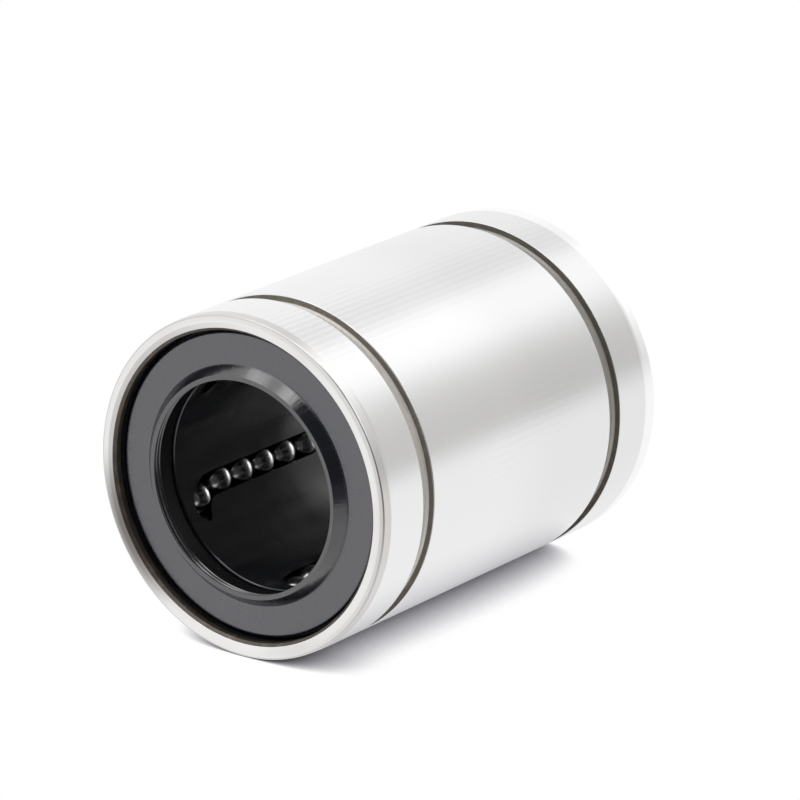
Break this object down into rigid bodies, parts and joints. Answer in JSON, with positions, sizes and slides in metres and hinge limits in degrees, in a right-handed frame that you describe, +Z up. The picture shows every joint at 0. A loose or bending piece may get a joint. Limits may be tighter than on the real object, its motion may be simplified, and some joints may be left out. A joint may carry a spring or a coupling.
{
  "type": "linear ball bearing",
  "caption": "Closed linear ball bearing: a ground steel sleeve with two ring grooves, a black retainer with recirculating ball circuits, and a rubber lip seal at each end.",
  "frame": {"origin": "centre of the bearing, on the shaft's axis, half way between the end faces", "axes": "+Y along the shaft's axis from the front face to the back face, +Z up with the bearing lying on its side"},
  "size_m": [0.032, 0.042, 0.032],
  "materials": {
    "ground_steel": "ground, bright, with faint lines along the axis",
    "ball_steel": "mirror polished bearing steel",
    "black_resin": "glossy moulded black resin",
    "seal_rubber": "satin dark grey rubber"
  },
  "bodies": {
    "root": {"outer_sleeve": "ground_steel", "ball_retainer": "black_resin", "end_seal_front": "seal_rubber", "end_seal_back": "seal_rubber"},
    "circuit_1_loaded_row": {"circuit_1_ball_1": "ball_steel", "circuit_1_ball_2": "ball_steel", "circuit_1_ball_3": "ball_steel", "circuit_1_ball_4": "ball_steel", "circuit_1_ball_5": "ball_steel", "circuit_1_ball_6": "ball_steel", "circuit_1_ball_7": "ball_steel", "circuit_1_ball_8": "ball_steel"},
    "circuit_1_return_row": {"circuit_1_return_balls": "ball_steel"},
    "circuit_1_front_turn": {"circuit_1_front_turn_balls": "ball_steel"},
    "circuit_1_back_turn": {"circuit_1_back_turn_balls": "ball_steel"},
    "circuit_2_loaded_row": {"circuit_2_ball_1": "ball_steel", "circuit_2_ball_2": "ball_steel", "circuit_2_ball_3": "ball_steel", "circuit_2_ball_4": "ball_steel", "circuit_2_ball_5": "ball_steel", "circuit_2_ball_6": "ball_steel", "circuit_2_ball_7": "ball_steel", "circuit_2_ball_8": "ball_steel"},
    "circuit_2_return_row": {"circuit_2_return_balls": "ball_steel"},
    "circuit_2_front_turn": {"circuit_2_front_turn_balls": "ball_steel"},
    "circuit_2_back_turn": {"circuit_2_back_turn_balls": "ball_steel"},
    "circuit_3_loaded_row": {"circuit_3_ball_1": "ball_steel", "circuit_3_ball_2": "ball_steel", "circuit_3_ball_3": "ball_steel", "circuit_3_ball_4": "ball_steel", "circuit_3_ball_5": "ball_steel", "circuit_3_ball_6": "ball_steel", "circuit_3_ball_7": "ball_steel", "circuit_3_ball_8": "ball_steel"},
    "circuit_3_return_row": {"circuit_3_return_balls": "ball_steel"},
    "circuit_3_front_turn": {"circuit_3_front_turn_balls": "ball_steel"},
    "circuit_3_back_turn": {"circuit_3_back_turn_balls": "ball_steel"},
    "circuit_4_loaded_row": {"circuit_4_ball_1": "ball_steel", "circuit_4_ball_2": "ball_steel", "circuit_4_ball_3": "ball_steel", "circuit_4_ball_4": "ball_steel", "circuit_4_ball_5": "ball_steel", "circuit_4_ball_6": "ball_steel", "circuit_4_ball_7": "ball_steel", "circuit_4_ball_8": "ball_steel"},
    "circuit_4_return_row": {"circuit_4_return_balls": "ball_steel"},
    "circuit_4_front_turn": {"circuit_4_front_turn_balls": "ball_steel"},
    "circuit_4_back_turn": {"circuit_4_back_turn_balls": "ball_steel"},
    "circuit_5_loaded_row": {"circuit_5_ball_1": "ball_steel", "circuit_5_ball_2": "ball_steel", "circuit_5_ball_3": "ball_steel", "circuit_5_ball_4": "ball_steel", "circuit_5_ball_5": "ball_steel", "circuit_5_ball_6": "ball_steel", "circuit_5_ball_7": "ball_steel", "circuit_5_ball_8": "ball_steel"},
    "circuit_5_return_row": {"circuit_5_return_balls": "ball_steel"},
    "circuit_5_front_turn": {"circuit_5_front_turn_balls": "ball_steel"},
    "circuit_5_back_turn": {"circuit_5_back_turn_balls": "ball_steel"}
  },
  "joints": [
    {"name": "circuit_1_roll", "type": "slide", "parent": "root", "child": "circuit_1_loaded_row", "axis": [0, 1, 0], "range_m": [-0.0016, 0.0016]},
    {"name": "circuit_1_return", "type": "slide", "parent": "root", "child": "circuit_1_return_row", "axis": [0, 1, 0], "range_m": [-0.0016, 0.0016]},
    {"name": "circuit_1_front_turn", "type": "hinge", "parent": "root", "child": "circuit_1_front_turn", "pos_m": [-0.00996, -0.0128, -0.0064], "axis": [-0.9336, 0, -0.3584], "range_deg": [-38.5, 38.5]},
    {"name": "circuit_1_back_turn", "type": "hinge", "parent": "root", "child": "circuit_1_back_turn", "pos_m": [-0.00996, 0.0128, -0.0064], "axis": [-0.9336, 0, -0.3584], "range_deg": [-38.5, 38.5]},
    {"name": "circuit_2_roll", "type": "slide", "parent": "root", "child": "circuit_2_loaded_row", "axis": [0, 1, 0], "range_m": [-0.0016, 0.0016]},
    {"name": "circuit_2_return", "type": "slide", "parent": "root", "child": "circuit_2_return_row", "axis": [0, 1, 0], "range_m": [-0.0016, 0.0016]},
    {"name": "circuit_2_front_turn", "type": "hinge", "parent": "root", "child": "circuit_2_front_turn", "pos_m": [0.00301, -0.0128, -0.01145], "axis": [0.0523, 0, -0.9986], "range_deg": [-38.5, 38.5]},
    {"name": "circuit_2_back_turn", "type": "hinge", "parent": "root", "child": "circuit_2_back_turn", "pos_m": [0.00301, 0.0128, -0.01145], "axis": [0.0523, 0, -0.9986], "range_deg": [-38.5, 38.5]},
    {"name": "circuit_3_roll", "type": "slide", "parent": "root", "child": "circuit_3_loaded_row", "axis": [0, 1, 0], "range_m": [-0.0016, 0.0016]},
    {"name": "circuit_3_return", "type": "slide", "parent": "root", "child": "circuit_3_return_row", "axis": [0, 1, 0], "range_m": [-0.0016, 0.0016]},
    {"name": "circuit_3_front_turn", "type": "hinge", "parent": "root", "child": "circuit_3_front_turn", "pos_m": [0.01182, -0.0128, -0.00067], "axis": [0.9659, 0, -0.2588], "range_deg": [-38.5, 38.5]},
    {"name": "circuit_3_back_turn", "type": "hinge", "parent": "root", "child": "circuit_3_back_turn", "pos_m": [0.01182, 0.0128, -0.00067], "axis": [0.9659, 0, -0.2588], "range_deg": [-38.5, 38.5]},
    {"name": "circuit_4_roll", "type": "slide", "parent": "root", "child": "circuit_4_loaded_row", "axis": [0, 1, 0], "range_m": [-0.0016, 0.0016]},
    {"name": "circuit_4_return", "type": "slide", "parent": "root", "child": "circuit_4_return_row", "axis": [0, 1, 0], "range_m": [-0.0016, 0.0016]},
    {"name": "circuit_4_front_turn", "type": "hinge", "parent": "root", "child": "circuit_4_front_turn", "pos_m": [0.00429, -0.0128, 0.01103], "axis": [0.5446, 0, 0.8387], "range_deg": [-38.5, 38.5]},
    {"name": "circuit_4_back_turn", "type": "hinge", "parent": "root", "child": "circuit_4_back_turn", "pos_m": [0.00429, 0.0128, 0.01103], "axis": [0.5446, 0, 0.8387], "range_deg": [-38.5, 38.5]},
    {"name": "circuit_5_roll", "type": "slide", "parent": "root", "child": "circuit_5_loaded_row", "axis": [0, 1, 0], "range_m": [-0.0016, 0.0016]},
    {"name": "circuit_5_return", "type": "slide", "parent": "root", "child": "circuit_5_return_row", "axis": [0, 1, 0], "range_m": [-0.0016, 0.0016]},
    {"name": "circuit_5_front_turn", "type": "hinge", "parent": "root", "child": "circuit_5_front_turn", "pos_m": [-0.00916, -0.0128, 0.00749], "axis": [-0.6293, 0, 0.7771], "range_deg": [-38.5, 38.5]},
    {"name": "circuit_5_back_turn", "type": "hinge", "parent": "root", "child": "circuit_5_back_turn", "pos_m": [-0.00916, 0.0128, 0.00749], "axis": [-0.6293, 0, 0.7771], "range_deg": [-38.5, 38.5]}
  ],
  "couplings": [
    {"joint": "circuit_1_return", "follows": "circuit_1_roll", "ratio": -1},
    {"joint": "circuit_1_front_turn", "follows": "circuit_1_roll", "rad_per_m": 415.37},
    {"joint": "circuit_1_back_turn", "follows": "circuit_1_roll", "rad_per_m": 415.37},
    {"joint": "circuit_2_return", "follows": "circuit_2_roll", "ratio": -1},
    {"joint": "circuit_2_front_turn", "follows": "circuit_2_roll", "rad_per_m": 415.37},
    {"joint": "circuit_2_back_turn", "follows": "circuit_2_roll", "rad_per_m": 415.37},
    {"joint": "circuit_3_return", "follows": "circuit_3_roll", "ratio": -1},
    {"joint": "circuit_3_front_turn", "follows": "circuit_3_roll", "rad_per_m": 415.37},
    {"joint": "circuit_3_back_turn", "follows": "circuit_3_roll", "rad_per_m": 415.37},
    {"joint": "circuit_4_return", "follows": "circuit_4_roll", "ratio": -1},
    {"joint": "circuit_4_front_turn", "follows": "circuit_4_roll", "rad_per_m": 415.37},
    {"joint": "circuit_4_back_turn", "follows": "circuit_4_roll", "rad_per_m": 415.37},
    {"joint": "circuit_5_return", "follows": "circuit_5_roll", "ratio": -1},
    {"joint": "circuit_5_front_turn", "follows": "circuit_5_roll", "rad_per_m": 415.37},
    {"joint": "circuit_5_back_turn", "follows": "circuit_5_roll", "rad_per_m": 415.37}
  ]
}
